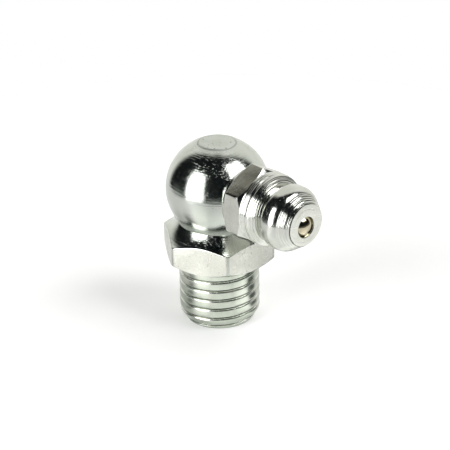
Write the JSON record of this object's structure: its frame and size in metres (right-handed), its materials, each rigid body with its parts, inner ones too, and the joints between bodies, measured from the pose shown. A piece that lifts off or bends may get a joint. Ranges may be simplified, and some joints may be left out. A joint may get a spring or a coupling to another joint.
{
  "type": "angled grease nipple",
  "caption": "Angled grease nipple with a fine-threaded stud, hexagon, ball-shaped elbow and a side coupler head holding a sprung check ball.",
  "frame": {"origin": "on the thread axis, in the plane of the hexagon's seating face", "axes": "+Z along the thread axis, from the stud up through the ball-shaped elbow; +X along the coupler head, out of its mouth"},
  "size_m": [0.0175, 0.0114, 0.0185],
  "materials": {
    "body": "turned steel, zinc plated, satin",
    "nipple_head": "turned steel, zinc plated, bright with fine turning marks",
    "check_ball": "polished bearing steel",
    "spring": "drawn spring wire"
  },
  "bodies": {
    "housing": {"body": "body", "nipple_head": "nipple_head", "spring": "spring"},
    "ball": {"check_ball": "check_ball"}
  },
  "joints": [
    {"name": "ball_lift", "type": "slide", "parent": "housing", "child": "ball", "axis": [-1, 0, 0], "range_m": [0, 0.0045], "stiffness_N_per_m": 880, "springref_m": -0.0015, "deforming": ["spring"]}
  ]
}
